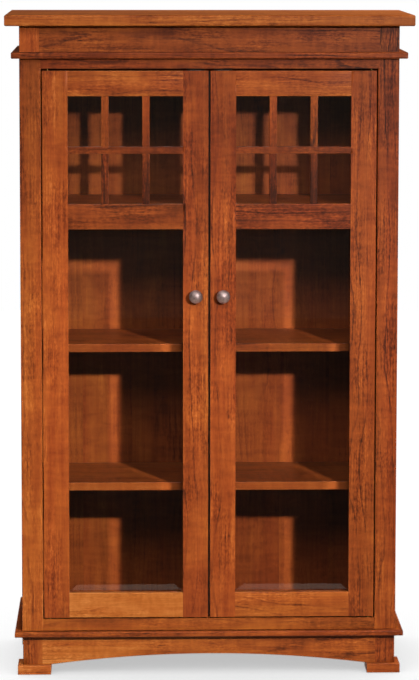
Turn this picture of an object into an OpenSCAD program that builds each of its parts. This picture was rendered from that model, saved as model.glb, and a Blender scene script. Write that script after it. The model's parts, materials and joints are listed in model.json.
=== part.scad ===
// Two-door glazed bookcase on a footed base.
// Origin: centre of the overall box at floor level. +Z is up, the doors face -Y, +X is to the right.

/* [Overall] */
// Overall height, floor to top surface
total_h = 1528; // [1450:1:1650]
// Width of the case, without the mouldings and the top's overhang
case_w = 866; // [800:1:960]
// Depth of the case, front of the face frame to the back edge
case_d = 328; // [300:1:380]
// How far the top overhangs the case at the front
top_front_overhang = 37; // [25:1:45]
// How far the top overhangs the case at each side
top_side_overhang = 32; // [25:1:45]
// Thickness of the top
top_t = 25.5; // [19:0.5:32]
// Radius of the top's eased edges
top_edge_r = 4; // [2:0.5:8]
// Thickness of the side, bottom, ceiling and shelf boards
board_t = 19; // [16:0.5:22]
// Thickness of the back panel
back_t = 12; // [6:1:15]
// Depth from the case's back edge to the back panel's inner face
back_recess = 38; // [32:1:60]

/* [Face frame] */
// Thickness of the face frame and of the doors
frame_t = 20; // [18:0.5:25]
// Width of the face frame stiles
face_stile_w = 48.5; // [40:0.5:60]
// Height of the door opening's lower edge above the floor
opening_z0 = 129; // [115:1:150]
// Height of the door opening's upper edge above the floor
opening_z1 = 1405; // [1340:1:1410]
// Width of the short posts at both ends of the frieze
frieze_post_w = 45; // [35:1:60]

/* [Mouldings] */
// Height of the upper moulding's underside above the floor
upper_z = 1428; // [1414:1:1434]
// Height of the upper moulding
upper_h = 15; // [12:1:20]
// Projection of the upper moulding
upper_proj = 18; // [12:1:25]
// Height of the lower moulding's underside, where the case meets the base
lower_z = 89; // [80:1:95]
// Height of the lower moulding
lower_h = 13; // [10:1:16]
// Projection of the lower moulding
lower_proj = 17; // [12:1:25]
// Radius of the cove under the lower moulding
cove_r = 4; // [2:0.5:5]
// Radius of the mouldings' eased outer edges
moulding_r = 3; // [1:0.5:5]

/* [Base] */
// Height of the feet
foot_h = 21.5; // [15:0.5:30]
// Width of a foot
foot_w = 77; // [60:1:90]
// Depth of a foot, front to back
foot_d = 65; // [55:1:80]
// How far a foot stands out past the base
foot_overhang = 12; // [8:1:16]
// How far the base stands back from the case
base_inset = 1.5; // [0:0.5:4]
// Side of the square base posts
post_w = 45; // [40:1:55]
// Rise of the arches under the front and side aprons
arch_rise = 23.5; // [15:0.5:35]

/* [Doors] */
// Gap between a door and the opening, at the hinge side
side_gap = 3; // [2.5:0.5:4]
// Gap above the doors
upper_gap = 5; // [3:0.5:5]
// Gap below the doors
lower_gap = 3; // [2:0.5:4]
// Gap between the two doors
centre_gap = 5; // [3:0.5:6]
// Width of the door stiles and rails
rail_w = 58; // [45:0.5:75]
// Height of the middle rail's lower edge above the floor
mid_rail_z = 1037; // [900:1:1100]
// Number of lites across the upper light of a door
lites_across = 3; // [2:1:4]
// Width of the upright muntins
muntin_w = 17; // [12:0.5:25]
// Height of the level muntin
muntin_h = 16; // [12:0.5:25]
// Thickness of the muntins, and of the lip in front of the glass
lip_t = 10; // [8:0.5:12]
// Width of the glass rebate
rebate_w = 8; // [6:0.5:10]
// Thickness of the plain upper glass
upper_glass_t = 3; // [2:0.5:4]
// Thickness of the bevelled lower glass
lower_glass_t = 5.5; // [4:0.5:6]
// Edge thickness of the bevelled glass
glass_edge_t = 3; // [2:0.5:4]
// Width of the bevel
bevel_w = 25; // [15:1:30]

/* [Shelves] */
// Heights of the three shelf tops above the floor, lowest first
shelf_tops = [441, 766, 1090];
// How far the shelf fronts stand back from the case front
shelf_setback = 45; // [30:1:80]
// Spare holes for shelf pins above each shelf's own, and as many below
spare_holes = 2; // [0:1:4]
// Spacing of the spare shelf pin holes
pin_pitch = 32; // [25:1:40]

/* [Hardware] */
// Diameter of the knobs
knob_d = 31; // [25:1:38]
// Projection of the knobs from the door face
knob_proj = 25; // [20:1:34]
// Height of the knob centres above the floor
knob_z = 883; // [700:1:950]
// Distance of the door pivots from the door's edge
pivot_in = 12; // [12:0.5:20]
// Distance of the door pivots behind the door's face
pivot_back = 7; // [6:0.5:7]

/* [Hidden] */
$fn = 64;

WOOD = "#a6501f";
WOOD_DARK = "#7a3a18";
GLASS = [0.8, 0.85, 0.85, 0.35];
PEWTER = "#8d8482";
BRASS = "#b08d4a";
ZINC = "#a8aaad";
CATCH = "#5b3a22";

// How far a cutting shape runs past the face that it cuts
cut = 1;

// Flat of the cove strip beyond the cove's hollow
cove_lip = 1;

// Planes of the case
total_d = case_d + top_front_overhang;
back_y = total_d / 2;
front_y = back_y - case_d;
inner_y = front_y + frame_t;
half_w = case_w / 2;
side_x = half_w - board_t;
case_top = total_h - top_t;
back_panel_y = back_y - back_recess;
opening_x = half_w - face_stile_w;
// Face frame and frieze meet behind the middle of the upper moulding
frieze_z = upper_z + upper_h / 2;

// Planes of the right door, which is mirrored for the left one
door_x0 = centre_gap / 2;
door_x1 = opening_x - side_gap;
door_z0 = opening_z0 + lower_gap;
door_z1 = opening_z1 - upper_gap;
glass_x0 = door_x0 + rail_w;
glass_x1 = door_x1 - rail_w;
lower_glass_z0 = door_z0 + rail_w;
upper_glass_z0 = mid_rail_z + rail_w;
upper_glass_z1 = door_z1 - rail_w;
muntin_z = (upper_glass_z0 + upper_glass_z1 - muntin_h) / 2;
lite_w = (glass_x1 - glass_x0 - (lites_across - 1) * muntin_w) / lites_across;
rebate_y = front_y + lip_t;
knob_x = door_x0 + rail_w / 2;
pivot_x = door_x1 - pivot_in;
pivot_y = front_y + pivot_back;

// Joinery
tenon_l = 25;
tenon_inset = 12;
tenon_y = front_y + (frame_t - lip_t) / 2;
// Clearance round a glass pane's edge, and in front of the bevelled pane's edge
glass_play = 1;
lower_glass_back = rebate_y + glass_edge_t + glass_play;
stop_w = rebate_w - 1;
// Open joint between the strips of a glass stop frame
stop_joint = 0.2;

// Base
base_x = half_w - base_inset;
base_front = front_y + base_inset;
base_back = back_y - base_inset;
apron_t = 20;
apron_x = base_x - post_w;
side_apron_y0 = base_front + post_w;
side_apron_y1 = base_back - post_w;
back_apron_h = 40;
// How far inside the feet, or the side posts, each end of an arch springs
front_spring = 4.5;
side_spring = 1;
arch_span = 2 * (base_x + foot_overhang - foot_w - front_spring);
// A large arch needs short facets
arch_fn = 1440;

// Ceiling panel and top fixing
ceiling_lift = 5;
ceiling_z = opening_z1 + ceiling_lift;
cleat_w = 19;
cleat_inset = 6;
cleat_y0 = inner_y + cleat_inset;
cleat_y1 = back_panel_y - cleat_inset;
back_rail_h = 70;
screw_r = 2.2;
screw_head_r = 4.2;
screw_head_h = 2.5;
top_screw_bite = 15;
top_screw_pitch = 110;
screw_play = 0.1;
// Empty depth of a bore past its screw's tip
tip_play = 1;

// Shelves and their pins
shelf_y0 = front_y + shelf_setback;
shelf_play = 1.5;
pin_r = 2.5;
pin_bore_r = 2.55;
pin_bore_l = 10;
pin_l = 9;
pin_collar_r = 4;
pin_collar_t = 1;
pin_head_r = 3;
pin_head_l = 8;
pin_inset = 37;
pin_rows = [shelf_y0 + pin_inset, back_panel_y - pin_inset];

// Pivot hinges: a pin on the frame leaf turns in the door leaf's bore
leaf_l = 50;
leaf_w = 10;
leaf_t = 2.5;
pivot_pin_r = 2.5;
pivot_bore_r = 2.55;
pivot_pin_reach = 2;
pivot_well_r = 3.4;
pivot_well_play = 1;
collar_r = 4.5;
collar_play = 0.1;

// Knob and its screw
knob_hole_r = 2.4;
knob_screw_r = 2;
knob_thread_r = 2.05;
knob_thread_l = 13;
knob_base_r = 8;
knob_base_t = 2;
knob_neck_r = 5.5;
knob_rim_z = 13;
knob_rim_t = 3;
knob_waist_r = 6.5;

// Catches
catch_w = 40;
catch_d = 19;
catch_h = 14;
catch_gap = 0.5;
strike_t = 1.5;
strike_w = 20;
strike_h = 18;
strike_inset = 2;

// Draws the right-hand form, or its mirror image for the left
module sided(side) {
    if (side == "right") children();
    else mirror([1, 0, 0]) children();
}

// A board given by its low and high corners
module board(low, high) {
    translate(low) cube(high - low);
}

// A pair, at the right and mirrored at the left
module both_sides() {
    children();
    mirror([1, 0, 0]) children();
}

// Section of a strip that projects to -X, with both outer edges eased
module nosing(proj, height, r) {
    translate([-proj + r, 0]) square([proj - r, height]);
    translate([-proj, r]) square([proj, height - 2 * r]);
    for (z = [r, height - r]) translate([-proj + r, z]) circle(r);
}

// A moulding stick: the section is drawn with -X outwards and +Y up, the back face is on Y = 0
// from x0 to x1, and an end marked 1 is mitred outwards
module stick(x0, x1, proj, low, high, mitres) {
    intersection() {
        translate([x0 - proj, 0, 0]) rotate([90, 0, 90])
            linear_extrude(x1 - x0 + 2 * proj) children();
        translate([0, 0, low]) linear_extrude(high - low) polygon([
            [x0 + mitres[0] * base_inset, base_inset], [x1 - mitres[1] * base_inset, base_inset],
            [x1 + mitres[1] * proj, -proj], [x0 - mitres[0] * proj, -proj]]);
    }
}

// ---- Case ----

module top_panel() {
    half_top = half_w + top_side_overhang;
    color(WOOD) difference() {
        translate([0, 0, case_top]) intersection() {
            rotate([90, 0, 90]) translate([back_y, 0]) linear_extrude(2 * half_top, center = true)
                nosing(total_d, top_t, top_edge_r);
            rotate([90, 0, 0]) linear_extrude(total_d, center = true) top_side_section(half_top);
        }
        top_screw_places() cylinder(r = screw_r + screw_play, h = top_screw_bite + tip_play);
    }
}

// The top's section from side to side, eased at both ends
module top_side_section(half_top) {
    nosing(half_top, top_t, top_edge_r);
    mirror([1, 0]) nosing(half_top, top_t, top_edge_r);
}

// Three places in each cleat, at the underside of the top
module top_screw_places() {
    for (x = [-1, 1], y = [-1, 0, 1])
        translate([x * (side_x - cleat_w / 2), (cleat_y0 + cleat_y1) / 2 + y * top_screw_pitch,
            case_top]) children();
}

module top_cleats() {
    color(WOOD_DARK) difference() {
        both_sides() board([side_x - cleat_w, cleat_y0, case_top - cleat_w], [side_x, cleat_y1, case_top]);
        top_screw_places() translate([0, 0, -cleat_w - cut])
            cylinder(r = screw_r + screw_play, h = cleat_w + 2 * cut);
    }
}

module top_screws() {
    color(ZINC) top_screw_places() {
        translate([0, 0, -cleat_w]) cylinder(r = screw_r, h = cleat_w + top_screw_bite);
        translate([0, 0, -cleat_w - screw_head_h]) cylinder(r = screw_head_r, h = screw_head_h);
    }
}

module side_panel(side) {
    color(WOOD) sided(side) difference() {
        board([side_x, inner_y, lower_z], [half_w, back_y, case_top]);
        for (top = shelf_tops, row = pin_rows, n = [-spare_holes:spare_holes])
            translate([side_x - cut, row, top - board_t - pin_head_r + n * pin_pitch])
                rotate([0, 90, 0]) cylinder(r = pin_bore_r, h = pin_bore_l + cut);
    }
}

module face_stile(side) {
    color(WOOD) sided(side) board([opening_x, front_y, lower_z], [half_w, inner_y, frieze_z]);
}

module face_rail_top() {
    color(WOOD) difference() {
        board([-opening_x, front_y, opening_z1], [opening_x, inner_y, frieze_z]);
        both_sides() translate([0, 0, opening_z1 - cut]) pivot_leaf_outline(leaf_t + cut);
    }
}

module face_rail_bottom() {
    color(WOOD) difference() {
        board([-opening_x, front_y, lower_z], [opening_x, inner_y, opening_z0]);
        both_sides() translate([0, 0, opening_z0 - leaf_t]) pivot_leaf_outline(leaf_t + cut);
    }
}

module frieze_board() {
    frieze_x = half_w - frieze_post_w;
    color(WOOD) board([-frieze_x, front_y, frieze_z], [frieze_x, inner_y, case_top]);
}

module frieze_posts() {
    color(WOOD) both_sides()
        board([half_w - frieze_post_w, front_y, frieze_z], [half_w, inner_y, case_top]);
}

module upper_section() {
    translate([0, upper_z]) nosing(upper_proj, upper_h, moulding_r);
}

module lower_section() {
    cove_x = cove_r + cove_lip;
    translate([0, lower_z]) nosing(lower_proj, lower_h, moulding_r);
    difference() {
        translate([-cove_x, lower_z - cove_r]) square([cove_x + base_inset, cove_r]);
        translate([-cove_x, lower_z - cove_r]) circle(cove_r);
    }
}

module moulding_front(proj, low, high) {
    color(WOOD) translate([0, front_y, 0])
        stick(-half_w, half_w, proj, low, high, [1, 1]) children();
}

// A side stick runs from the mitre at the front to the case's back edge
module moulding_side(side, proj, low, high) {
    color(WOOD) sided(side) translate([half_w, 0, 0]) mirror([1, 0, 0]) rotate([0, 0, -90])
        stick(-back_y, -front_y, proj, low, high, [0, 1]) children();
}

module upper_moulding_front() {
    moulding_front(upper_proj, upper_z, upper_z + upper_h) upper_section();
}

module upper_moulding(side) {
    moulding_side(side, upper_proj, upper_z, upper_z + upper_h) upper_section();
}

module lower_moulding_front() {
    moulding_front(lower_proj, lower_z - cove_r, lower_z + lower_h) lower_section();
}

module lower_moulding(side) {
    moulding_side(side, lower_proj, lower_z - cove_r, lower_z + lower_h) lower_section();
}

module ceiling_panel() {
    color(WOOD_DARK) board([-side_x, inner_y, ceiling_z], [side_x, back_panel_y, ceiling_z + board_t]);
}

module bottom_panel() {
    color(WOOD) board([-side_x, inner_y, opening_z0 - board_t], [side_x, back_panel_y, opening_z0]);
}

module shelf(top) {
    color(WOOD) board([-side_x + shelf_play, shelf_y0, top - board_t],
        [side_x - shelf_play, back_panel_y - shelf_play, top]);
}

// One pin of stepped section, its axis along +X out of the side panel's hole
module shelf_pin() {
    rotate([0, 90, 0]) {
        cylinder(r = pin_r, h = pin_l);
        translate([0, 0, -pin_collar_t]) cylinder(r = pin_collar_r, h = pin_collar_t);
        translate([0, 0, -pin_head_l]) cylinder(r = pin_head_r, h = pin_head_l);
    }
}

module shelf_pins() {
    color(BRASS) for (top = shelf_tops, row = pin_rows)
        both_sides() translate([side_x, row, top - board_t - pin_head_r]) shelf_pin();
}

module back_panel() {
    color(WOOD) board([-side_x, back_panel_y, lower_z], [side_x, back_panel_y + back_t, case_top]);
}

module back_rails() {
    y0 = back_panel_y + back_t;
    color(WOOD_DARK) for (z = [lower_z, case_top - back_rail_h])
        board([-side_x, y0, z], [side_x, y0 + board_t, z + back_rail_h]);
}

// ---- Base ----

module base_posts() {
    color(WOOD) both_sides() for (y = [base_front, base_back - post_w])
        board([apron_x, y, foot_h], [base_x, y + post_w, lower_z]);
}

// The hollow of an arch that springs from the feet's tops over the given span, along Y
module arch(span, depth) {
    r = (span * span / 4 + arch_rise * arch_rise) / (2 * arch_rise);
    translate([0, 0, foot_h + arch_rise - r]) rotate([90, 0, 0])
        cylinder(r = r, h = depth, center = true, $fn = arch_fn);
}

module apron_front() {
    color(WOOD) difference() {
        board([-apron_x, base_front, foot_h], [apron_x, base_front + apron_t, lower_z]);
        translate([0, base_front, 0]) arch(arch_span, 3 * apron_t);
    }
}

module side_aprons() {
    span = side_apron_y1 - side_apron_y0;
    color(WOOD) both_sides() difference() {
        board([base_x - apron_t, side_apron_y0, foot_h], [base_x, side_apron_y1, lower_z]);
        translate([base_x, (side_apron_y0 + side_apron_y1) / 2, 0]) rotate([0, 0, 90])
            arch(span - 2 * side_spring, 3 * apron_t);
    }
}

module apron_back() {
    color(WOOD_DARK) board([-apron_x, base_back - apron_t, lower_z - back_apron_h],
        [apron_x, base_back, lower_z]);
}

module feet() {
    foot_x1 = base_x + foot_overhang;
    color(WOOD) both_sides() {
        board([foot_x1 - foot_w, base_front - foot_overhang, 0],
            [foot_x1, base_front - foot_overhang + foot_d, foot_h]);
        board([foot_x1 - foot_w, back_y - foot_d, 0], [foot_x1, back_y, foot_h]);
    }
}

// ---- Hinges and catches ----

// Plan outline of a pivot hinge leaf, rounded about the right door's pivot
module pivot_leaf_outline(height) {
    translate([pivot_x, pivot_y, 0]) {
        cylinder(r = leaf_w / 2, h = height);
        translate([leaf_w / 2 - leaf_l, -leaf_w / 2, 0]) cube([leaf_l - leaf_w / 2, leaf_w, height]);
    }
}

module frame_pivots() {
    color(BRASS) both_sides() {
        translate([0, 0, opening_z1]) pivot_leaf_outline(leaf_t);
        translate([pivot_x, pivot_y, door_z1 - leaf_t - pivot_pin_reach])
            cylinder(r = pivot_pin_r, h = upper_gap + leaf_t + pivot_pin_reach + leaf_t / 2);
        translate([0, 0, opening_z0 - leaf_t]) pivot_leaf_outline(leaf_t);
        translate([pivot_x, pivot_y, opening_z0 - leaf_t / 2])
            cylinder(r = pivot_pin_r, h = leaf_t / 2 + lower_gap + leaf_t + pivot_pin_reach);
        translate([pivot_x, pivot_y, opening_z0 - leaf_t / 2])
            cylinder(r = collar_r, h = leaf_t / 2 + lower_gap - collar_play);
    }
}

module door_pivots(side) {
    color(BRASS) sided(side) for (z = [door_z0, door_z1 - leaf_t])
        translate([0, 0, z]) difference() {
            pivot_leaf_outline(leaf_t);
            translate([pivot_x, pivot_y, -cut]) cylinder(r = pivot_bore_r, h = leaf_t + 2 * cut);
        }
}

module magnetic_catches() {
    color(CATCH) both_sides()
        board([knob_x - catch_w / 2, inner_y + strike_t + catch_gap, ceiling_z - catch_h],
            [knob_x + catch_w / 2, inner_y + strike_t + catch_gap + catch_d, ceiling_z]);
}

module strike_plate(side) {
    color(ZINC) sided(side)
        board([knob_x - strike_w / 2, inner_y, door_z1 - strike_inset - strike_h],
            [knob_x + strike_w / 2, inner_y + strike_t, door_z1 - strike_inset]);
}

// ---- Doors ----

// The rebates behind both panes, cut into the stiles and rails that frame them
module glass_rebates() {
    for (z = [[lower_glass_z0, mid_rail_z], [upper_glass_z0, upper_glass_z1]])
        board([glass_x0 - rebate_w, rebate_y, z[0] - rebate_w],
            [glass_x1 + rebate_w, inner_y + cut, z[1] + rebate_w]);
}

// Tenons of the three rails, at one end of each
module rail_tenons() {
    for (z = [door_z0, mid_rail_z, upper_glass_z1])
        board([glass_x0 - tenon_l, tenon_y, z + tenon_inset],
            [glass_x1 + tenon_l, tenon_y + lip_t, z + rail_w - tenon_inset]);
}

module hinge_stile(side) {
    color(WOOD) sided(side) difference() {
        board([glass_x1, front_y, door_z0], [door_x1, inner_y, door_z1]);
        glass_rebates();
        rail_tenons();
        for (z = [door_z0 - cut, door_z1 - leaf_t])
            translate([0, 0, z]) pivot_leaf_outline(leaf_t + cut);
        for (z = [door_z0 + leaf_t, door_z1 - leaf_t - pivot_pin_reach - pivot_well_play])
            translate([pivot_x, pivot_y, z])
                cylinder(r = pivot_well_r, h = pivot_pin_reach + pivot_well_play);
    }
}

module lock_stile(side) {
    color(WOOD) sided(side) difference() {
        board([door_x0, front_y, door_z0], [glass_x0, inner_y, door_z1]);
        glass_rebates();
        rail_tenons();
        translate([knob_x, front_y - cut, knob_z]) rotate([-90, 0, 0])
            cylinder(r = knob_hole_r, h = frame_t + 2 * cut);
    }
}

// A door rail between the stiles, with a tenon at each end
module rail(side, z) {
    color(WOOD) sided(side) union() {
        difference() {
            board([glass_x0, front_y, z], [glass_x1, inner_y, z + rail_w]);
            glass_rebates();
        }
        board([glass_x0 - tenon_l, tenon_y, z + tenon_inset],
            [glass_x1 + tenon_l, tenon_y + lip_t, z + rail_w - tenon_inset]);
    }
}

module muntin_bar(side) {
    color(WOOD) sided(side)
        board([glass_x0, front_y, muntin_z], [glass_x1, rebate_y, muntin_z + muntin_h]);
}

module muntin_posts(side) {
    color(WOOD) sided(side) for (n = [1:lites_across - 1], z = [[upper_glass_z0, muntin_z],
            [muntin_z + muntin_h, upper_glass_z1]]) {
        x = glass_x0 + n * lite_w + (n - 1) * muntin_w;
        board([x, front_y, z[0]], [x + muntin_w, rebate_y, z[1]]);
    }
}

module upper_glass(side) {
    edge = rebate_w - glass_play;
    color(GLASS) sided(side)
        board([glass_x0 - edge, rebate_y, upper_glass_z0 - edge],
            [glass_x1 + edge, rebate_y + upper_glass_t, upper_glass_z1 + edge]);
}

// Section of the bevelled pane: width along X, flat back on Y = 0, face towards -Y
module bevel_section(width) {
    half = width / 2;
    polygon([[-half, 0], [half, 0], [half, -glass_edge_t], [half - bevel_w, -lower_glass_t],
        [bevel_w - half, -lower_glass_t], [-half, -glass_edge_t]]);
}

module lower_glass(side) {
    edge = rebate_w - glass_play;
    width = glass_x1 - glass_x0 + 2 * edge;
    height = mid_rail_z - lower_glass_z0 + 2 * edge;
    color(GLASS) sided(side)
        translate([(glass_x0 + glass_x1) / 2, lower_glass_back, (lower_glass_z0 + mid_rail_z) / 2])
            intersection() {
                linear_extrude(height, center = true) bevel_section(width);
                rotate([0, 90, 0]) linear_extrude(width, center = true)
                    bevel_section(height);
            }
}

// Four separate strips behind one pane, the level ones between the upright ones
module stop_frame(z0, z1, y) {
    for (x = [glass_x0 - stop_w, glass_x1])
        board([x, y, z0 - stop_w], [x + stop_w, inner_y, z1 + stop_w]);
    for (z = [z0 - stop_w, z1])
        board([glass_x0 + stop_joint, y, z], [glass_x1 - stop_joint, inner_y, z + stop_w]);
}

module glass_stops(side) {
    color(WOOD) sided(side) {
        stop_frame(lower_glass_z0, mid_rail_z, lower_glass_back);
        stop_frame(upper_glass_z0, upper_glass_z1, rebate_y + upper_glass_t);
    }
}

// Half section of the mushroom knob: X is the radius, Y the distance from the door's face
module knob_section() {
    head_r = knob_d / 2;
    dome_h = knob_proj - knob_rim_z - knob_rim_t;
    dome_r = (head_r * head_r + dome_h * dome_h) / (2 * dome_h);
    square([knob_base_r, knob_base_t]);
    difference() {
        square([knob_base_r, knob_rim_z]);
        translate([knob_neck_r + knob_waist_r, (knob_base_t + knob_rim_z) / 2])
            circle(knob_waist_r);
    }
    translate([0, knob_rim_z]) square([head_r, knob_rim_t]);
    intersection() {
        translate([0, knob_rim_z + knob_rim_t]) square([head_r, dome_h]);
        translate([0, knob_proj - dome_r]) circle(dome_r);
    }
}

module knob(side) {
    color(PEWTER) sided(side) translate([knob_x, front_y, knob_z]) rotate([90, 0, 0])
        difference() {
            rotate_extrude() knob_section();
            translate([0, 0, -cut]) cylinder(r = knob_thread_r, h = knob_thread_l + cut);
        }
}

module knob_screw(side) {
    reach = knob_thread_l - tip_play;
    color(ZINC) sided(side) translate([knob_x, inner_y, knob_z]) rotate([90, 0, 0]) {
        cylinder(r = knob_screw_r, h = frame_t + reach);
        translate([0, 0, -screw_head_h]) cylinder(r = screw_head_r, h = screw_head_h);
    }
}

top_panel();
top_cleats();
top_screws();
side_panel("left");  // side_panel_left
side_panel("right");  // side_panel_right
face_stile("left");  // face_stile_left
face_stile("right");  // face_stile_right
face_rail_top();
face_rail_bottom();
frieze_board();
frieze_posts();
upper_moulding_front();
upper_moulding("left");  // upper_moulding_left
upper_moulding("right");  // upper_moulding_right
lower_moulding_front();
lower_moulding("left");  // lower_moulding_left
lower_moulding("right");  // lower_moulding_right
ceiling_panel();
bottom_panel();
shelf(shelf_tops[2]);  // shelf_upper
shelf(shelf_tops[1]);  // shelf_middle
shelf(shelf_tops[0]);  // shelf_lower
shelf_pins();
back_panel();
back_rails();
base_posts();
apron_front();
side_aprons();
apron_back();
feet();
frame_pivots();
magnetic_catches();
hinge_stile("left");  // hinge_stile_left
lock_stile("left");  // lock_stile_left
rail("left", upper_glass_z1);  // top_rail_left
rail("left", mid_rail_z);  // mid_rail_left
rail("left", door_z0);  // bottom_rail_left
muntin_bar("left");  // muntin_bar_left
muntin_posts("left");  // muntin_posts_left
upper_glass("left");  // upper_glass_left
lower_glass("left");  // lower_glass_left
glass_stops("left");  // glass_stops_left
knob("left");  // knob_left
knob_screw("left");  // knob_screw_left
door_pivots("left");  // door_pivots_left
strike_plate("left");  // strike_plate_left
hinge_stile("right");  // hinge_stile_right
lock_stile("right");  // lock_stile_right
rail("right", upper_glass_z1);  // top_rail_right
rail("right", mid_rail_z);  // mid_rail_right
rail("right", door_z0);  // bottom_rail_right
muntin_bar("right");  // muntin_bar_right
muntin_posts("right");  // muntin_posts_right
upper_glass("right");  // upper_glass_right
lower_glass("right");  // lower_glass_right
glass_stops("right");  // glass_stops_right
knob("right");  // knob_right
knob_screw("right");  // knob_screw_right
door_pivots("right");  // door_pivots_right
strike_plate("right");  // strike_plate_right
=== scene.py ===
"""Looks for the two-door glazed bookcase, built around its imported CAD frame.

Lengths are metres in the frame's own axes: +Z is up and the doors face -Y.
Each wooden board stands for its CAD node, with eased arrises and a grain of its own.
"""

import json
import math
import random

import bmesh
import bpy
from mathutils import Matrix, Vector, bvhtree
from mathutils.geometry import tessellate_polygon

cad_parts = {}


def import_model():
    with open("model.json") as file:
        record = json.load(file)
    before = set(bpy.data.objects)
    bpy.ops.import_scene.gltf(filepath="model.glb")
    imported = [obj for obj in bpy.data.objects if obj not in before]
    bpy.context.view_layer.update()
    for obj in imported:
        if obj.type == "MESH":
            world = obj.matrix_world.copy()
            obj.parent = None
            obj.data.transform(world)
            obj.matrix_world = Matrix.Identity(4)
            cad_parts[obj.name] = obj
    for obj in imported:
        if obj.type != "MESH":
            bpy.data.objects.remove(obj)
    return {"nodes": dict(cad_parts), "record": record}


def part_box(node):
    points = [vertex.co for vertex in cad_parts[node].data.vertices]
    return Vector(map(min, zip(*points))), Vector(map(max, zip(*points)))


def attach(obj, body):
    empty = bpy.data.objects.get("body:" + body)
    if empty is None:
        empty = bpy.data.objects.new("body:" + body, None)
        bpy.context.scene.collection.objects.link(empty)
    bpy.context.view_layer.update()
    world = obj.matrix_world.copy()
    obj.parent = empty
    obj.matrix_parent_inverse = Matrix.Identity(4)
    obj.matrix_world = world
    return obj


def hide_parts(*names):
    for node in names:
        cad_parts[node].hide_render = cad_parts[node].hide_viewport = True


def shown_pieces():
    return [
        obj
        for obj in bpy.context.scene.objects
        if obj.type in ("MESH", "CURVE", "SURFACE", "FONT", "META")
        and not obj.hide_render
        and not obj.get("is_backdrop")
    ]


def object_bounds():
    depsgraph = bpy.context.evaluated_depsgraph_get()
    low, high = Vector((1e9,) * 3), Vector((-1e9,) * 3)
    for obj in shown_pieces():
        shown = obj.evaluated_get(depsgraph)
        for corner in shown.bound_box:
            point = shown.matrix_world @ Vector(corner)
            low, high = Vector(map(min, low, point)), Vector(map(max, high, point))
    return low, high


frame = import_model()
cad_low, cad_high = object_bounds()

MM = 0.001
BODIES = frame["record"]["behaviour"]["bodies"]
BODY_OF = {node: body for body, nodes in BODIES.items() for node in nodes}
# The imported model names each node's material after its slot
SLOT_OF = {node: obj.data.materials[0].name for node, obj in frame["nodes"].items()}


# ---- Meshes ----

def welded(node):
    """A bmesh of a CAD node, its shared corners joined and its flat faces whole."""
    bm = bmesh.new()
    bm.from_mesh(frame["nodes"][node].data)
    bmesh.ops.remove_doubles(bm, verts=bm.verts, dist=0.001 * MM)
    bmesh.ops.dissolve_limit(bm, angle_limit=0.005, verts=bm.verts, edges=bm.edges)
    return bm


def islands(bm):
    """The separate solids of a bmesh as lists of faces, in a fixed order."""
    left = set(bm.faces)
    found = []
    for first in bm.faces:
        if first not in left:
            continue
        left.discard(first)
        waiting, group = [first], []
        while waiting:
            face = waiting.pop()
            group.append(face)
            for edge in face.edges:
                for other in edge.link_faces:
                    if other in left:
                        left.discard(other)
                        waiting.append(other)
        found.append(group)
    return found


def box_of(faces):
    """Lowest and highest corner of some faces."""
    corners = [v.co for face in faces for v in face.verts]
    low = Vector(min(c[i] for c in corners) for i in range(3))
    high = Vector(max(c[i] for c in corners) for i in range(3))
    return low, high


def piece_from(bm, name, node, materials):
    """Makes a piece from a bmesh, in place of a CAD node and on its body."""
    mesh = bpy.data.meshes.new(name)
    bm.to_mesh(mesh)
    bm.free()
    for material in materials:
        mesh.materials.append(material)
    piece = bpy.data.objects.new(name, mesh)
    bpy.context.scene.collection.objects.link(piece)
    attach(piece, BODY_OF[node])
    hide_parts(node)
    return piece


def shade_smooth(piece, angle=40):
    """Smooth shading that keeps edges above the angle sharp and large faces flat."""
    piece.data.polygons.foreach_set("use_smooth", [True] * len(piece.data.polygons))
    piece.data.set_sharp_from_angle(angle=math.radians(angle))
    weighted = piece.modifiers.new("flat_faces", "WEIGHTED_NORMAL")
    weighted.keep_sharp = True
    weighted.weight = 80


# ---- Node trees ----

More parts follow.
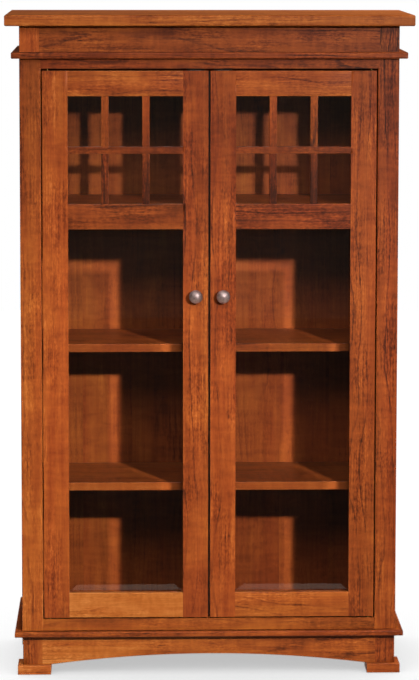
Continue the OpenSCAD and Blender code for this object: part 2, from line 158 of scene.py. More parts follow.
class Tree:
    """A short way to write a node tree. Sockets and plain values both go in as values."""

    def __init__(self, tree):
        self.tree = tree

    def feed(self, socket, value):
        if isinstance(value, bpy.types.NodeSocket):
            self.tree.links.new(value, socket)
        else:
            socket.default_value = value

    def add(self, kind, settings=None, **values):
        node = self.tree.nodes.new(kind)
        for key, value in (settings or {}).items():
            setattr(node, key, value)
        for key, value in values.items():
            self.feed(node.inputs[key.replace("_", " ")], value)
        return node

    def math(self, operation, *values, clamp=False):
        node = self.add("ShaderNodeMath", {"operation": operation, "use_clamp": clamp})
        for socket, value in zip(node.inputs, values):
            self.feed(socket, value)
        return node.outputs[0]

    def noise(self, vector, scale, detail=2.0, roughness=0.5, distortion=0.0):
        """Noise about 0, mostly within -0.5 and 0.5. scale is one number or one for each axis."""
        if isinstance(scale, tuple):
            vector = self.scaled(vector, scale)
            scale = 1.0
        node = self.add("ShaderNodeTexNoise", Vector=vector, Scale=scale, Detail=detail,
                        Roughness=roughness, Distortion=distortion)
        return self.math("SUBTRACT", node.outputs["Fac"], 0.5)

    def scaled(self, vector, factors):
        node = self.add("ShaderNodeVectorMath", {"operation": "MULTIPLY"})
        self.feed(node.inputs[0], vector)
        self.feed(node.inputs[1], factors)
        return node.outputs[0]

    def ranged(self, value, low, high, to_low=0.0, to_high=1.0, smooth=True):
        kind = "SMOOTHSTEP" if smooth else "LINEAR"
        return self.add("ShaderNodeMapRange", {"interpolation_type": kind}, Value=value, From_Min=low,
                        From_Max=high, To_Min=to_low, To_Max=to_high).outputs["Result"]

    def ramp(self, value, stops):
        """A colour ramp through (place, colour) stops."""
        node = self.add("ShaderNodeValToRGB", Fac=value)
        elements = node.color_ramp.elements
        while len(elements) < len(stops):
            elements.new(1.0)
        for element, (place, colour) in zip(elements, stops):
            element.position = place
            element.color = (*colour, 1.0)
        return node.outputs["Color"]

    def sum(self, start, *terms):
        """start plus each term, where a term is (socket, factor)."""
        total = start
        for socket, factor in terms:
            total = self.math("MULTIPLY_ADD", socket, factor, total)
        return total


def new_material(name):
    """A material and its tree, with a Principled shader on the output."""
    material = bpy.data.materials.new(name)
    material.use_nodes = True
    material.node_tree.nodes.clear()
    t = Tree(material.node_tree)
    shader = t.add("ShaderNodeBsdfPrincipled")
    output = t.add("ShaderNodeOutputMaterial")
    t.tree.links.new(shader.outputs[0], output.inputs["Surface"])
    return material, t, shader


def srgb(red, green, blue):
    """A linear colour from 0 to 255 display values."""
    def linear(c):
        c /= 255
        return c / 12.92 if c <= 0.04045 else ((c + 0.055) / 1.055) ** 2.4
    return linear(red), linear(green), linear(blue)


# ---- Wood ----

# Distance from one growth ring to the next
RING_PITCH = 6.0 * MM

# The stain runs from a redder to a more golden brown, and each ramp from its darkest to its palest
CHERRY_RED = [
    (0.00, srgb(63, 24, 8)),
    (0.25, srgb(110, 44, 17)),
    (0.50, srgb(161, 70, 28)),
    (0.72, srgb(193, 91, 36)),
    (1.00, srgb(224, 123, 59)),
]
CHERRY_GOLD = [
    (0.00, srgb(66, 30, 10)),
    (0.25, srgb(113, 54, 19)),
    (0.50, srgb(165, 83, 31)),
    (0.72, srgb(197, 107, 40)),
    (1.00, srgb(227, 139, 68)),
]
BARE_RED = [
    (0.00, srgb(74, 38, 20)),
    (0.50, srgb(134, 78, 44)),
    (1.00, srgb(178, 118, 74)),
]
BARE_GOLD = [
    (0.00, srgb(78, 46, 24)),
    (0.50, srgb(140, 88, 48)),
    (1.00, srgb(184, 128, 78)),
]


def grain_tree():
    """The figure of a board. Grain is the place in the log: X along it, and Y, Z across it from the pith.

    Look holds the board's tone, painted light and shade included, in X, the share of end grain in Y and its
    hue in Z. A tone is about 0.5.
    """
    tree = bpy.data.node_groups.new("board_grain", "ShaderNodeTree")
    tree.interface.new_socket("Grain", in_out="INPUT", socket_type="NodeSocketVector")
    tree.interface.new_socket("Look", in_out="INPUT", socket_type="NodeSocketVector")
    for name in ("Tone", "Figure", "Hue", "Roughness", "Height"):
        tree.interface.new_socket(name, in_out="OUTPUT", socket_type="NodeSocketFloat")
    t = Tree(tree)
    entry = t.add("NodeGroupInput")
    grain = entry.outputs["Grain"]
    look = t.add("ShaderNodeSeparateXYZ", Vector=entry.outputs["Look"])

    # The log is neither straight nor round, so the rings wander along it
    bend = t.add("ShaderNodeTexNoise", Vector=t.scaled(grain, (1.6, 3.0, 3.0)), Scale=1.0, Detail=2.0)
    wander = t.add("ShaderNodeVectorMath", {"operation": "MULTIPLY_ADD"})
    t.feed(wander.inputs[0], bend.outputs["Color"])
    wander.inputs[1].default_value = (0.0, 0.07, 0.07)
    t.feed(wander.inputs[2], grain)
    place = t.add("ShaderNodeSeparateXYZ", Vector=wander.outputs[0])
    radius = t.math("SQRT", t.math("ADD", t.math("POWER", t.math("ABSOLUTE", place.outputs["Y"]), 2.0),
                                   t.math("POWER", t.math("ABSOLUTE", place.outputs["Z"]), 2.0)))
    ripple_of_ring = t.noise(grain, (9.0, 60.0, 60.0), detail=3.0)
    rings = t.sum(t.math("DIVIDE", radius, RING_PITCH), (ripple_of_ring, 1.1))
    share = t.math("FRACT", rings)
    late = t.math("MULTIPLY", t.ranged(share, 0.55, 0.90), t.ranged(share, 1.0, 0.92))
    year = t.add("ShaderNodeTexWhiteNoise", {"noise_dimensions": "1D"}, W=t.math("FLOOR", rings))
    strength = t.ranged(year.outputs["Value"], 0.3, 1.0, 0.1, 1.0)
    late = t.math("MULTIPLY", late, strength)

    mottle = t.noise(grain, (5.0, 13.0, 13.0), detail=3.0, roughness=0.55, distortion=0.8)
    streak = t.noise(grain, (2.2, 52.0, 52.0), detail=3.0, roughness=0.6)
    line = t.noise(grain, (6.0, 210.0, 210.0), detail=3.0, roughness=0.65)
    fibre = t.noise(grain, (30.0, 900.0, 900.0), detail=2.0)
    grit = t.noise(grain, (110.0, 260.0, 260.0), detail=2.0, roughness=0.6)
    lively = t.ranged(t.noise(grain, (7.0, 24.0, 24.0), detail=2.0), -0.14, 0.16, 0.35, 1.5)
    curl = t.noise(grain, (62.0, 16.0, 16.0), detail=2.0, distortion=0.6)
    band = t.noise(grain, (1.0, 22.0, 22.0), detail=3.0)
    fleck = t.ranged(t.noise(grain, (34.0, 420.0, 420.0), detail=1.0), 0.17, 0.26)

    tone = t.sum(look.outputs["X"], (mottle, 0.55), (streak, 0.40), (curl, 0.30), (look.outputs["Y"], -0.20))
    # The fine figure is lively in some places and quiet in others
    figure = t.math("MULTIPLY", lively, t.sum(0.0, (line, 0.60), (fibre, 0.30), (grit, 0.52),
                                              (late, -0.22), (fleck, -0.22)))
    hue = t.sum(look.outputs["Z"], (band, 1.6), (mottle, 0.8), (streak, 0.6))
    rough = t.sum(0.40, (streak, 0.16), (fibre, 0.12), (late, 0.05), (look.outputs["Y"], 0.15))
    height = t.sum(0.0, (fibre, 0.8), (line, 0.5), (late, -0.35), (fleck, -0.8))
    leave = t.add("NodeGroupOutput")
    t.feed(leave.inputs["Tone"], tone)
    t.feed(leave.inputs["Figure"], figure)
    t.feed(leave.inputs["Hue"], hue)
    t.feed(leave.inputs["Roughness"], rough)
    t.feed(leave.inputs["Height"], height)
    return tree


GRAIN_TREE = grain_tree()


def wood(name, red, gold, lift=0.0, gloss=0.16, rougher=0.0, figure=1.0):
    """A wood finish. lift is added to the tone, as on an arris where the stain is rubbed thin; on the arris
    finishes it is also a painted highlight where the arrises catch the light.
    """
    material, t, shader = new_material(name)
    group = t.add("ShaderNodeGroup", {"node_tree": GRAIN_TREE})
    for socket, attribute in (("Grain", "grain"), ("Look", "look")):
        source = t.add("ShaderNodeAttribute", {"attribute_name": attribute})
        t.feed(group.inputs[socket], source.outputs["Vector"])
    tone = t.math("ADD", t.sum(group.outputs["Tone"], (group.outputs["Figure"], figure)), lift, clamp=True)
    hue = t.math("ADD", group.outputs["Hue"], 0.0, clamp=True)
    colour = t.add("ShaderNodeMix", {"data_type": "RGBA"})
    t.feed(colour.inputs["Factor"], hue)
    t.feed(colour.inputs[6], t.ramp(tone, red))
    t.feed(colour.inputs[7], t.ramp(tone, gold))
    t.feed(shader.inputs["Base Color"], colour.outputs[2])
    t.feed(shader.inputs["Roughness"], t.math("ADD", group.outputs["Roughness"], rougher, clamp=True))
    bump = t.add("ShaderNodeBump", Strength=0.25, Distance=0.25 * MM, Height=group.outputs["Height"])
    t.feed(shader.inputs["Normal"], bump.outputs[0])
    shader.inputs["Specular IOR Level"].default_value = gloss
    return material


LACQUERED = wood("cherry_lacquered", CHERRY_RED, CHERRY_GOLD)
QUIET = wood("cherry_quiet_figure", CHERRY_RED, CHERRY_GOLD, figure=0.4)
# The arris finishes are paler than the faces: partly stain rubbed thin, partly a painted highlight where the
# arrises catch the light
RUBBED_AND_HIGHLIT = wood("cherry_rubbed_and_highlit_arris", CHERRY_RED, CHERRY_GOLD, lift=0.10, gloss=0.30, rougher=-0.08)
UNFINISHED = wood("cherry_unfinished", BARE_RED, BARE_GOLD, gloss=0.15, rougher=0.25)
UNFINISHED_ARRIS = wood("cherry_unfinished_arris", BARE_RED, BARE_GOLD, lift=0.08, gloss=0.15, rougher=0.25)

WOODEN = sorted(n for n in frame["nodes"] if SLOT_OF[n] in ("stained_cherry", "unfinished_inside"))
# Width of the staves that a wide panel is glued up from
STAVE_W = 118 * MM
# How much paler (+) or deeper (-) than the rest a node is drawn, from its low end to its high end, along its
# longest side. Partly this is the stain's own tone, and partly painted light and shade: darker in the shade
# under the top and the mouldings and towards the tops of the face stiles, paler where more light falls, as on
# the top board and the boards at the left.
TONE_AND_PAINTED_SHADE = {
    "top_panel": (0.12, 0.16),
    "frieze_board": (-0.08, -0.12),
    "frieze_posts": (0.22, -0.25),
    "upper_moulding_front": (-0.15, -0.12),
    "face_rail_top": (-0.05, -0.05),
    "face_stile_left": (0.22, -0.14),
    "face_stile_right": (0.0, -0.18),
    "hinge_stile_left": (0.03, 0.06),
    "lock_stile_left": (0.02, -0.06),
    "lock_stile_right": (0.10, -0.02),
    "hinge_stile_right": (-0.06, 0.02),
    "top_rail_left": (0.12, 0.10),
    "top_rail_right": (0.12, 0.12),
    "mid_rail_left": (-0.12, -0.16),
    "mid_rail_right": (-0.20, -0.20),
    "bottom_rail_left": (0.32, 0.28),
    "bottom_rail_right": (0.10, 0.06),
    "muntin_bar_left": (-0.20, -0.20),
    "muntin_bar_right": (-0.20, -0.20),
    "muntin_posts_left": (-0.44, 0.07),
    "muntin_posts_right": (-0.44, 0.07),
    "lower_moulding_front": (-0.03, -0.03),
    "apron_front": (0.24, 0.0),
    "feet": (0.40, 0.0),
    "base_posts": (0.0, -0.10),
}
# How much paler a shelf's front edge is than its face
EDGE_SHADES = {"shelf_upper": 0.02, "shelf_middle": 0.02, "shelf_lower": 0.26}
# Hue of a board, where it is more golden (+) or redder (-) than the rest
HUES = {
    "top_panel": 0.45,
    "top_rail_left": 0.1,
    "top_rail_right": 0.2,
    "bottom_rail_left": 0.5,
    "bottom_rail_right": 0.4,
    "face_rail_bottom": 0.4,
    "apron_front": 0.45,
    "face_stile_left": 0.15,
    "shelf_lower": 0.3,
}


def inside(tree, point):
    """True if the point is inside a closed mesh."""
    direction = Vector((0.36, 0.48, 0.80))
    crossings = 0
    at = tree.ray_cast(point, direction)[0]
    while at is not None:
        crossings += 1
        at = tree.ray_cast(at + direction * 0.01 * MM, direction)[0]
    return crossings % 2 == 1


SOLIDS = {}
for wooden_node in WOODEN:
    solid = welded(wooden_node)
    SOLIDS[wooden_node] = (bvhtree.BVHTree.FromBMesh(solid), *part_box(wooden_node))
    solid.free()


def near(node):
    """The wooden nodes whose boxes touch this one's."""
    _, low, high = SOLIDS[node]
    reach = 1 * MM
    return [other for other in WOODEN if other != node and all(
        SOLIDS[other][1][i] < high[i] + reach and SOLIDS[other][2][i] > low[i] - reach for i in range(3))]


def is_free(edge, neighbours):
    """True if an arris is in the open, and not buried in a joint with another board."""
    middle = (edge.verts[0].co + edge.verts[1].co) / 2
    step = 0.4 * MM
    one, two = (face.normal * step for face in edge.link_faces)
    for place in (middle + one - two, middle + two - one, middle + one + two):
        if any(inside(SOLIDS[other][0], place) for other in neighbours):
            return False
    return True


def cut_at_joints(bm, node, neighbours):
    """Cuts a board's faces level with its neighbours' edges, so that each arris is all free or all buried."""
    _, low, high = SOLIDS[node]
    clear = 3 * MM
    for axis in range(3):
        places = sorted({round(SOLIDS[other][end][axis], 5) for other in neighbours for end in (1, 2)})
        normal = Vector(1.0 if i == axis else 0.0 for i in range(3))
        for place in places:
            if low[axis] + clear < place < high[axis] - clear:
                bmesh.ops.bisect_plane(bm, geom=bm.verts[:] + bm.edges[:] + bm.faces[:],
                                       dist=0.001 * MM, plane_co=normal * place, plane_no=normal)


def axes_of(low, high):
    """The axes along the grain, across the board and through it: longest, middle and shortest."""
    return sorted(range(3), key=lambda i: low[i] - high[i])


def grow(bm, node, wide):
    """Gives each solid, or each stave of a wide panel, its own place in a log and its own tone."""
    grain = bm.loops.layers.float_vector.new("grain")
    look = bm.loops.layers.float_vector.new("look")
    at_low, at_high = TONE_AND_PAINTED_SHADE.get(node, (0.0, 0.0))
    _, node_low, node_high = SOLIDS[node]
    longest = axes_of(node_low, node_high)[0]
    solids = sorted(islands(bm), key=lambda group: [round(c, 4) for c in box_of(group)[0]])
    for number, faces in enumerate(solids):
        low, high = box_of(faces)
        along, across, through = axes_of(low, high)
        staves = max(1, round((high[across] - low[across]) / STAVE_W)) if wide else 1
        stave_w = (high[across] - low[across]) / staves
        chance = random.Random(f"{node} {number}")
        rows = []
        for _ in range(staves):
            rows.append({
                "start": chance.uniform(0, 40),
                "side": chance.uniform(-0.6, 0.6) * stave_w,
                "pith": chance.uniform(45, 110) * MM,
                "tone": chance.uniform(-0.04, 0.04),
                "hue": chance.uniform(-0.15, 0.15),
            })
        for face in faces:
            centre = face.calc_center_median()
            stave = min(staves - 1, max(0, int((centre[across] - low[across]) / stave_w)))
            row = rows[stave]
            middle = low[across] + (stave + 0.5) * stave_w
            for corner in face.loops:
                at = corner.vert.co
                corner[grain] = (at[along] + row["start"], at[across] - middle + row["side"],
                                 at[through] - low[through] + row["pith"])
                place = (at[longest] - node_low[longest]) / (node_high[longest] - node_low[longest])
                front = EDGE_SHADES.get(node, 0.0) * max(0.0, -face.normal.y)
                # The tone along the board, with the painted light and shade of the table above
                shade = at_low + (at_high - at_low) * place
                corner[look] = (0.5 + shade + front + row["tone"], abs(face.normal[along]),
                                0.35 + HUES.get(node, 0.0) + row["hue"])


def cut_staves(bm):
    """Cuts a wide panel along its glue lines."""
    low, high = box_of(bm.faces)
    _, across, _ = axes_of(low, high)
    count = max(1, round((high[across] - low[across]) / STAVE_W))
    normal = Vector(1.0 if i == across else 0.0 for i in range(3))
    for n in range(1, count):
        place = low[across] + (high[across] - low[across]) * n / count
        bmesh.ops.bisect_plane(bm, geom=bm.verts[:] + bm.edges[:] + bm.faces[:],
                               dist=0.001 * MM, plane_co=normal * place, plane_no=normal)


# Boards that show only a quiet figure, as inside the case
QUIET_BOARDS = ("back_panel", "ceiling_panel", "bottom_panel", "shelf_upper", "shelf_middle", "shelf_lower")
# Panels that are glued up from staves
WIDE = ("top_panel", "side_panel_left", "side_panel_right") + QUIET_BOARDS


def arris_of(node):
    """Radius of a node's eased arrises."""
    if node.startswith("glass_stops"):
        return 0.6 * MM
    if node == "top_panel":
        return 2.2 * MM
    if node.startswith("muntin"):
        return 0.9 * MM
    return 1.3 * MM


def wooden_piece(node):
    """A wooden node as a finished piece: free arrises eased, joints tight, grain along each board."""
    bm = welded(node)
    neighbours = near(node)
    cut_at_joints(bm, node, neighbours)
    if node in WIDE:
        cut_staves(bm)
    bm.normal_update()
    least_length = 2 * MM
    sharp = math.radians(50)
    arrises = [edge for edge in bm.edges if len(edge.link_faces) == 2
               and edge.calc_length() > least_length and edge.calc_face_angle_signed() > sharp
               and is_free(edge, neighbours)]
    bmesh.ops.bevel(bm, geom=arrises, offset=arris_of(node), offset_type="OFFSET", segments=2,
                    profile=0.5, affect="EDGES", clamp_overlap=True, material=1)
    bm.normal_update()
    grow(bm, node, node in WIDE)
    pair = [LACQUERED, RUBBED_AND_HIGHLIT]
    if node in QUIET_BOARDS:
        pair = [QUIET, RUBBED_AND_HIGHLIT]
    if SLOT_OF[node] == "unfinished_inside":
        pair = [UNFINISHED, UNFINISHED_ARRIS]
    shade_smooth(piece_from(bm, node + "_wood", node, pair))


for wooden_node in WOODEN:
    wooden_piece(wooden_node)


# ---- Glass ----

def glass(name, tint, passes, corner=None):
    """Clear glass. passes is the share of the lamps' light that it lets through.

    corner is the right and top edge of a bevelled pane, the edges nearest the key lamps. The bevels
    there bend the light inward: none goes straight through the outer strip, and a band beside it
    passes more than its share.
    """
    material, t, shader = new_material(name)
    shader.inputs["Base Color"].default_value = (*tint, 1.0)
    shader.inputs["Transmission Weight"].default_value = 1.0
    shader.inputs["IOR"].default_value = 1.5
    haze = t.noise(t.add("ShaderNodeTexCoord").outputs["Object"], (3.0, 3.0, 9.0), detail=3.0)
    t.feed(shader.inputs["Roughness"], t.math("MULTIPLY", t.ranged(haze, 0.0, 0.4), 0.02))
    clear = t.add("ShaderNodeBsdfTransparent", Color=(passes, passes, passes, 1.0))
    if corner:
        right, top = corner
        place = t.add("ShaderNodeSeparateXYZ", Vector=t.add("ShaderNodeTexCoord").outputs["Object"])
        # The lamps stand high, so the top bevel turns more light away than the one at the side
        top_extra = 11 * MM
        inset = t.math("MINIMUM", t.math("SUBTRACT", right, place.outputs["X"]),
                       t.math("SUBTRACT", top - top_extra, place.outputs["Z"]))
        straight = t.ranged(inset, 11 * MM, 27 * MM, 0.0, passes)
        gathered = t.ranged(inset, 30 * MM, 48 * MM, 1.7, 1.0)
        t.feed(clear.inputs["Color"], t.math("MULTIPLY", straight, gathered))
    path = t.add("ShaderNodeLightPath")
    mix = t.add("ShaderNodeMixShader")
    t.feed(mix.inputs[0], t.math("MAXIMUM", path.outputs["Is Shadow Ray"], path.outputs["Is Diffuse Ray"]))
    t.feed(mix.inputs[1], shader.outputs[0])
    t.feed(mix.inputs[2], clear.outputs[0])
    output = next(n for n in t.tree.nodes if n.type == "OUTPUT_MATERIAL")
    t.feed(output.inputs["Surface"], mix.outputs[0])
    return material


CLEAR = (0.95, 0.965, 0.955)
PLATE = glass("glass_plate", CLEAR, 0.80)
PLATE_BACK = glass("glass_back", CLEAR, 1.0)
PLATE_EDGE = glass("glass_ground_edge", (0.55, 0.66, 0.60), 0.7)


def pane_piece(node):
    """A glass pane, with its bevels and ground edges in their own finish."""
    bm = welded(node)
    bm.normal_update()
    for face in bm.faces:
        level = -face.normal.y
        if level > 0.9999:
            face.material_index = 0
        elif level > 0.5:
            face.material_index = 1
        elif level < -0.9999:
            face.material_index = 2
        else:
            face.material_index = 3
    front = [PLATE, PLATE]
    if node.startswith("lower"):
        _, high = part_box(node)
        front = [glass(f"{node}_{part}", CLEAR, 0.74, corner=(high.x, high.z)) for part in ("flat", "bevel")]
    piece_from(bm, node + "_pane", node, front + [PLATE_BACK, PLATE_EDGE])


for pane_node in sorted(frame["nodes"]):
    if pane_node.startswith(("upper_glass", "lower_glass")):
        pane_piece(pane_node)


# ---- Metal and plastic ----

def metal(name, dark, light, rough_low, rough_high, scale):
    """A satin metal with a worn, slightly mottled surface. scale is how many mottles there are in a metre."""
    material, t, shader = new_material(name)
    place = t.add("ShaderNodeTexCoord").outputs["Object"]
    cloud = t.noise(place, scale, detail=4.0, roughness=0.6)
    grit = t.noise(place, scale * 9, detail=2.0)
    tone = t.sum(0.5, (cloud, 1.2), (grit, 0.35))
    t.feed(shader.inputs["Base Color"], t.ramp(tone, [(0.15, dark), (0.85, light)]))
    t.feed(shader.inputs["Roughness"], t.ranged(tone, 0.1, 0.9, rough_high, rough_low, smooth=False))
    bumped = t.add("ShaderNodeBump", Strength=0.1, Distance=0.1 * MM, Height=grit)
    t.feed(shader.inputs["Normal"], bumped.outputs[0])
    shader.inputs["Metallic"].default_value = 1.0
    return material


PEWTER = metal("satin_pewter", srgb(132, 108, 104), srgb(200, 177, 172), 0.50, 0.60, 160)
BRASS = metal("satin_brass", srgb(88, 60, 30), srgb(168, 130, 72), 0.34, 0.50, 120)
ZINC = metal("zinc_steel", srgb(120, 122, 124), srgb(196, 198, 200), 0.25, 0.42, 180)


def plastic(name, dark, light):
    """Moulded plastic with a fine spark texture."""
    material, t, shader = new_material(name)
    place = t.add("ShaderNodeTexCoord").outputs["Object"]
    spark = t.noise(place, 1400, detail=2.0)
    cloud = t.noise(place, 60, detail=2.0)
    t.feed(shader.inputs["Base Color"], t.ramp(t.sum(0.5, (cloud, 0.8), (spark, 0.3)),
                                               [(0.2, dark), (0.8, light)]))
    t.feed(shader.inputs["Roughness"], t.sum(0.5, (spark, 0.25)))
    bumped = t.add("ShaderNodeBump", Strength=0.3, Distance=0.1 * MM, Height=spark)
    t.feed(shader.inputs["Normal"], bumped.outputs[0])
    return material


PLASTIC = plastic("brown_plastic", srgb(62, 38, 24), srgb(88, 56, 36))


# Out of the case through the doors, and back into it
OUTWARD, INWARD = Vector((0, -1, 0)), Vector((0, 1, 0))


def turned(profile, centre, axis_to):
    """A bmesh turned about a line through centre. profile is (radius, height) along axis_to."""
    segments = 96
    bm = bmesh.new()
    turn = Vector((0, 0, 1)).rotation_difference(axis_to).to_matrix()
    rings = []
    for radius, height in profile:
        if radius == 0.0:
            rings.append([bm.verts.new(centre + turn @ Vector((0, 0, height)))])
            continue
        ring = []
        for n in range(segments):
            angle = 2 * math.pi * n / segments
            spoke = Vector((radius * math.cos(angle), radius * math.sin(angle), height))
            ring.append(bm.verts.new(centre + turn @ spoke))
        rings.append(ring)
    for below, above in zip(rings, rings[1:]):
        for n in range(segments):
            m = (n + 1) % segments
            if len(below) == 1:
                bm.faces.new((below[0], above[m], above[n]))
            elif len(above) == 1:
                bm.faces.new((below[n], below[m], above[0]))
            else:
                bm.faces.new((below[n], below[m], above[m], above[n]))
    bmesh.ops.recalc_face_normals(bm, faces=bm.faces)
    return bm


def arc(centre, radius, start, end, steps):
    """Points of an arc in the (radius, height) plane, by angles in degrees."""
    points = []
    for n in range(steps + 1):
        angle = math.radians(start + (end - start) * n / steps)
        points.append((centre[0] + radius * math.cos(angle), centre[1] + radius * math.sin(angle)))
    return points


def knob_profile(reach, head_r):
    """Half section of a mushroom knob: base flange, waist, rolled rim and low dome."""
    flange_r = 8.0 * MM
    waist_centre, waist_r = (10.6 * MM, 7.2 * MM), 5.6 * MM
    rim_z, rim_r = 14.4 * MM, 1.6 * MM
    dome_h = reach - rim_z
    dome_r = (head_r ** 2 + dome_h ** 2) / (2 * dome_h)
    half = math.degrees(math.asin((head_r - 0.6 * MM) / dome_r))
    profile = [(0.0, 0.0), (flange_r - 0.4 * MM, 0.0), (flange_r, 0.4 * MM), (flange_r, 1.5 * MM),
               (flange_r - 0.5 * MM, 2.0 * MM)]
    profile += arc(waist_centre, waist_r, 240, 150, 12)
    # The hollow underside of the head
    profile += [(8.6 * MM, 11.9 * MM), (12.4 * MM, 12.6 * MM)]
    profile += arc((head_r - rim_r, rim_z), rim_r, -80, 40, 8)
    profile += arc((0.0, reach - dome_r), dome_r, 90 - half * 0.985, 90, 20)[:-1]
    profile += [(0.0, reach)]
    return profile


def knob_piece(node):
    """A knob turned from its half section, its axis through the middle of the node."""
    low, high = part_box(node)
    centre = Vector(((low.x + high.x) / 2, high.y, (low.z + high.z) / 2))
    bm = turned(knob_profile(high.y - low.y, (high.x - low.x) / 2), centre, OUTWARD)
    shade_smooth(piece_from(bm, node + "_turned", node, [PEWTER]), angle=50)


for side in ("left", "right"):
    knob_piece("knob_" + side)

METALS = {"satin_brass": BRASS, "zinc_steel": ZINC, "brown_plastic": PLASTIC}


def facing(faces, normal):
    """The largest flat face of some that looks along a direction."""
    return max((face for face in faces if face.normal.dot(normal) > 0.999), key=lambda face: face.calc_area())


def turn_to(face, normal):
    """Flips a new face if it looks away from a direction."""
    face.normal_update()
    if face.normal.dot(normal) < 0:
        face.normal_flip()


def pockets(bm, face, outlines, depth, material=0):
    """Sinks pockets into a flat face. outlines are in metres from its centre; gives back the floors."""
    normal = face.normal.copy()
    centre = face.calc_center_bounds()
    across = Vector((0, 0, 1)).cross(normal).normalized()
    up = normal.cross(across)
    rings = [list(face.verts)]
    floors = []
    for outline in outlines:
        rings.append([bm.verts.new(centre + across * x + up * z) for x, z in outline])
    corners = [vert for ring in rings for vert in ring]
    skin = face.material_index
    bmesh.ops.delete(bm, geom=[face], context="FACES_ONLY")
    for triangle in tessellate_polygon([[vert.co for vert in ring] for ring in rings]):
        made = bm.faces.new([corners[n] for n in triangle])
        made.material_index = skin
        turn_to(made, normal)
    for ring in rings[1:]:
        sunk = [bm.verts.new(vert.co - normal * depth) for vert in ring]
        for n, vert in enumerate(ring):
            m = (n + 1) % len(ring)
            bm.faces.new((vert, ring[m], sunk[m], sunk[n])).material_index = skin
        floor_face = bm.faces.new(sunk)
        floor_face.material_index = material
        turn_to(floor_face, normal)
        floors.append(floor_face)
    return floors


def round_outline(radius):
    """Outline of a round hole."""
    count = 40
    turns = [2 * math.pi * n / count for n in range(count)]
    return [(radius * math.cos(turn), radius * math.sin(turn)) for turn in turns]


def cross_outline(reach, half, tilt):
    """Outline of a cross recess whose arms are reach long and twice half wide."""
    arm = [(half, half), (half, reach), (-half, reach)]
    points = []
    for quarter in range(4):
        turn = tilt + quarter * math.pi / 2
        points += [(x * math.cos(turn) - z * math.sin(turn), x * math.sin(turn) + z * math.cos(turn))
                   for x, z in arm]
    return points


def slot_outline(half_length, half_width, z):
    """Outline of a level slot."""
    return [(-half_length, z - half_width), (half_length, z - half_width),
            (half_length, z + half_width), (-half_length, z + half_width)]


def detail(bm, node):
    """Cuts cross recesses into the screws, and shows the pole plates in the catches."""
    tilt = math.radians(random.Random(node).uniform(0, 90))
    cross = cross_outline(2.1 * MM, 0.42 * MM, tilt)
    if node.startswith("knob_screw"):
        pockets(bm, facing(bm.faces, INWARD), [cross], 1.4 * MM)
    if node.startswith("strike_plate"):
        # A countersunk screw head, just below the plate's face
        heads = pockets(bm, facing(bm.faces, INWARD), [round_outline(3.3 * MM)], 0.2 * MM)
        pockets(bm, heads[0], [cross], 0.9 * MM)
    if node == "magnetic_catches":
        pole_z = 3.2 * MM
        poles = [slot_outline(13 * MM, 0.8 * MM, z) for z in (-pole_z, pole_z)]
        for solid in islands(bm):
            pockets(bm, facing(solid, OUTWARD), poles, 0.3 * MM, material=1)
    bmesh.ops.recalc_face_normals(bm, faces=bm.faces)


def fitting_piece(node):
    """A metal or plastic fitting with its sharp edges just broken."""
    bm = welded(node)
    bm.normal_update()
    edges = [edge for edge in bm.edges if len(edge.link_faces) == 2
             and edge.calc_face_angle_signed() > math.radians(50)]
    bmesh.ops.bevel(bm, geom=edges, offset=0.25 * MM, offset_type="OFFSET", segments=2, profile=0.5,
                    affect="EDGES", clamp_overlap=True)
    detail(bm, node)
    shade_smooth(piece_from(bm, node + "_fitting", node, [METALS[SLOT_OF[node]], ZINC]))


for fitting_node in sorted(frame["nodes"]):
    if SLOT_OF[fitting_node] in METALS:
        fitting_piece(fitting_node)

# Its near-black colour is painted shade: it makes the gap between the doors read as dark
GAP_SHADE_PILE = plastic("dark_pile_painted_shade", srgb(26, 19, 16), srgb(44, 32, 26))


def gap_shade_strip():
    """A narrow near-black pile strip on the left door's meeting edge. It shuts out the view between the
    doors, and its dark colour is painted shade for the gap.
    """
    low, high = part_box("lock_stile_left")
    meeting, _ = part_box("lock_stile_right")
    clear = 0.7 * MM
    start = Vector((high.x, high.y - 4 * MM, low.z + MM))
    end = Vector((meeting.x - clear, high.y - MM, high.z - MM))
    bm = bmesh.new()
    bmesh.ops.create_cube(bm, size=1.0)
    for vert in bm.verts:
        vert.co = (start + end) / 2 + Vector(c * s for c, s in zip(vert.co, end - start))
    bmesh.ops.bevel(bm, geom=bm.edges[:], offset=0.6 * MM, offset_type="OFFSET", segments=3, profile=0.5,
                    affect="EDGES", clamp_overlap=True)
    shade_smooth(piece_from(bm, "gap_shade_strip", "lock_stile_left", [GAP_SHADE_PILE]))


gap_shade_strip()


# ---- Stage ----

# The fill is warm, as light that comes back off the wood and the room
FILL_TINT = (1.0, 0.88, 0.74)


def seen(t):
    """1 for what the camera sees, directly or straight through glass, and 0 for reflections and light."""
    path = t.add("ShaderNodeLightPath")
    straight = t.math("LESS_THAN", path.outputs["Glossy Depth"], 0.5)
    through = t.math("MULTIPLY", path.outputs["Is Transmission Ray"], straight)
    return t.math("MAXIMUM", path.outputs["Is Camera Ray"], through)


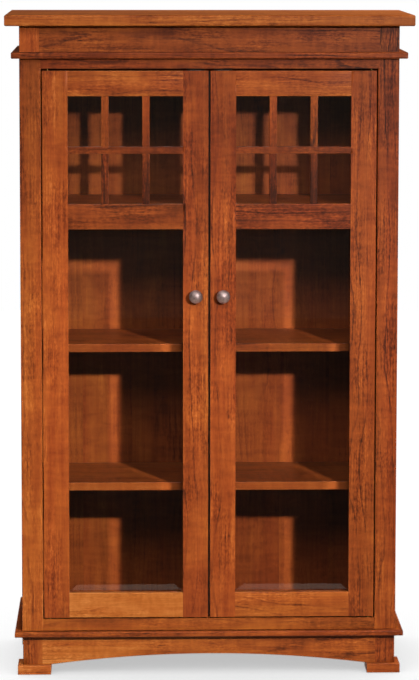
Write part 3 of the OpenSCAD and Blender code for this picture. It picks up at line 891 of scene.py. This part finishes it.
def floor():
    """A round pale floor. The camera sees it washed with light, and reflections see it lit near the case."""
    bm = bmesh.new()
    bmesh.ops.create_circle(bm, cap_ends=True, segments=128, radius=6.0)
    mesh = bpy.data.meshes.new("floor")
    bm.to_mesh(mesh)
    bm.free()
    material = bpy.data.materials.new("pale_floor")
    material.use_nodes = True
    material.node_tree.nodes.clear()
    t = Tree(material.node_tree)
    place = t.add("ShaderNodeSeparateXYZ", Vector=t.add("ShaderNodeTexCoord").outputs["Object"])
    plain = t.add("ShaderNodeEmission", Color=(1.0, 0.86, 0.74, 1.0),
                  Strength=t.ranged(place.outputs["Y"], -0.95, -0.70, 0.03, 0.95))
    # Strong enough for the dim fill to show as a pale floor, with the fill's tint taken out
    shaded = t.add("ShaderNodeBsdfDiffuse", Color=(*(8.8 / c for c in FILL_TINT), 1.0))
    glow = t.add("ShaderNodeEmission", Color=(1.0, 1.0, 1.0, 1.0), Strength=0.49)
    washed = t.add("ShaderNodeAddShader")
    t.feed(washed.inputs[0], shaded.outputs[0])
    t.feed(washed.inputs[1], glow.outputs[0])
    mix = t.add("ShaderNodeMixShader")
    t.feed(mix.inputs[0], seen(t))
    t.feed(mix.inputs[1], plain.outputs[0])
    t.feed(mix.inputs[2], washed.outputs[0])
    output = t.add("ShaderNodeOutputMaterial")
    t.feed(output.inputs["Surface"], mix.outputs[0])
    mesh.materials.append(material)
    piece = bpy.data.objects.new("floor", mesh)
    bpy.context.scene.collection.objects.link(piece)
    piece.visible_diffuse = False
    piece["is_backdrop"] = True


floor()


def world():
    """White behind the object, and a dimmer even fill on it."""
    sky = bpy.data.worlds.new("studio")
    sky.use_nodes = True
    sky.node_tree.nodes.clear()
    t = Tree(sky.node_tree)
    white = t.add("ShaderNodeBackground", Color=(1.0, 1.0, 1.0, 1.0), Strength=1.0)
    fill = t.add("ShaderNodeBackground", Color=(*FILL_TINT, 1.0), Strength=0.070)
    mix = t.add("ShaderNodeMixShader")
    t.feed(mix.inputs[0], seen(t))
    t.feed(mix.inputs[1], fill.outputs[0])
    t.feed(mix.inputs[2], white.outputs[0])
    output = t.add("ShaderNodeOutputWorld")
    t.feed(output.inputs["Surface"], mix.outputs[0])
    bpy.context.scene.world = sky


world()


def aim(obj, place, target):
    """Puts a light at a place and points it at a target."""
    obj.location = place
    obj.rotation_euler = (Vector(target) - Vector(place)).to_track_quat("-Z", "Y").to_euler()


OBJECT_ONLY = bpy.data.collections.new("lit_object")
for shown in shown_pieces():
    OBJECT_ONLY.objects.link(shown)


def lamp(name, kind, place, target, power, **settings):
    """A lamp that lights the object and not the floor."""
    light = bpy.data.lights.new(name, kind)
    light.energy = power
    for key, value in settings.items():
        setattr(light, key, value)
    obj = bpy.data.objects.new(name, light)
    bpy.context.scene.collection.objects.link(obj)
    aim(obj, place, target)
    obj.light_linking.receiver_collection = OBJECT_ONLY
    obj.visible_camera = False
    obj.visible_transmission = False
    return obj


def even(light):
    """Takes the falloff with distance out of a light, so that near and far boards are lit alike."""
    light.use_nodes = True
    t = Tree(light.node_tree)
    emission = next(n for n in t.tree.nodes if n.type == "EMISSION")
    falloff = t.add("ShaderNodeLightFalloff", Strength=1.0)
    t.feed(emission.inputs["Strength"], falloff.outputs["Constant"])


KNOBS_ONLY = bpy.data.collections.new("lit_knobs")
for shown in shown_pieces():
    if shown.name.endswith("_turned"):
        KNOBS_ONLY.objects.link(shown)

case_centre = (cad_low + cad_high) / 2
# The key lamps share one place, and throw the lit patches through the glass onto the back panel. Two of
# them top up the light low and high on the case.
KEY_PLACE = (1.5, -3.35, 2.0)
key = lamp("key", "SPOT", KEY_PLACE, case_centre, 9.3, shadow_soft_size=0.065,
           spot_size=math.radians(50), spot_blend=0.3)
key_low = lamp("key_low", "SPOT", KEY_PLACE, (0.0, -0.15, 0.25), 21.2, shadow_soft_size=0.065,
               spot_size=math.radians(36), spot_blend=1.0)
key_high = lamp("key_high", "SPOT", KEY_PLACE, (0.0, -0.15, 1.25), 9.6, shadow_soft_size=0.065,
                spot_size=math.radians(30), spot_blend=1.0)
for beam in (key, key_low, key_high):
    even(beam.data)
# A soft sheen from above on the knobs alone
sheen = lamp("knob_sheen", "AREA", (-0.9, -1.1, 3.4), (0.0, -0.18, 0.88), 26.0, shape="DISK", size=2.0)
sheen.light_linking.receiver_collection = KNOBS_ONLY
# Soft light on the fronts, on the top board, and on the sides and back as seen from behind
lamp("front_top", "AREA", (-0.3, -3.2, 3.0), case_centre, 40.0, shape="DISK", size=1.5)
lamp("overhead", "AREA", (2.0, 0.35, 2.5), (0.3, 0.0, 1.5), 42.0, shape="DISK", size=0.7)
back_right = lamp("back_right", "AREA", (2.2, 1.8, 2.6), (0.0, 0.0, 1.2), 40.0, shape="DISK", size=1.2)
back_left = lamp("back_left", "AREA", (-2.4, 2.2, 1.8), (0.0, 0.0, 0.8), 40.0, shape="DISK", size=1.6)
for backlight in (back_right, back_left):
    # Seen across the top board, their shine would burn it out
    backlight.visible_glossy = False


# ---- Camera ----

def camera():
    """The camera stands a little left of the middle, above the top and looks slightly down."""
    yaw, pitch, roll = (math.radians(a) for a in (1.588, -5.756, 0.064))
    ahead = Vector((math.sin(yaw) * math.cos(pitch), math.cos(yaw) * math.cos(pitch), math.sin(pitch)))
    level = Vector((math.cos(yaw), -math.sin(yaw), 0.0))
    above = level.cross(ahead)
    right = level * math.cos(roll) + above * math.sin(roll)
    up = above * math.cos(roll) - level * math.sin(roll)
    lens = bpy.data.cameras.new("camera")
    lens.lens = 148.6
    lens.sensor_width = 36.0
    lens.shift_y = -0.2
    lens.clip_end = 50.0
    obj = bpy.data.objects.new("camera", lens)
    bpy.context.scene.collection.objects.link(obj)
    turn = Matrix((right, up, -ahead)).transposed().to_4x4()
    obj.matrix_world = Matrix.Translation((-0.177, -6.529, 1.739)) @ turn
    bpy.context.scene.camera = obj


camera()

scene = bpy.context.scene
scene.view_settings.view_transform = "Standard"
scene.cycles.use_denoising = True
scene.cycles.sample_clamp_indirect = 4.0
# The tops of the compartments stay black, as no light passes between boards
scene.cycles.diffuse_bounces = 0
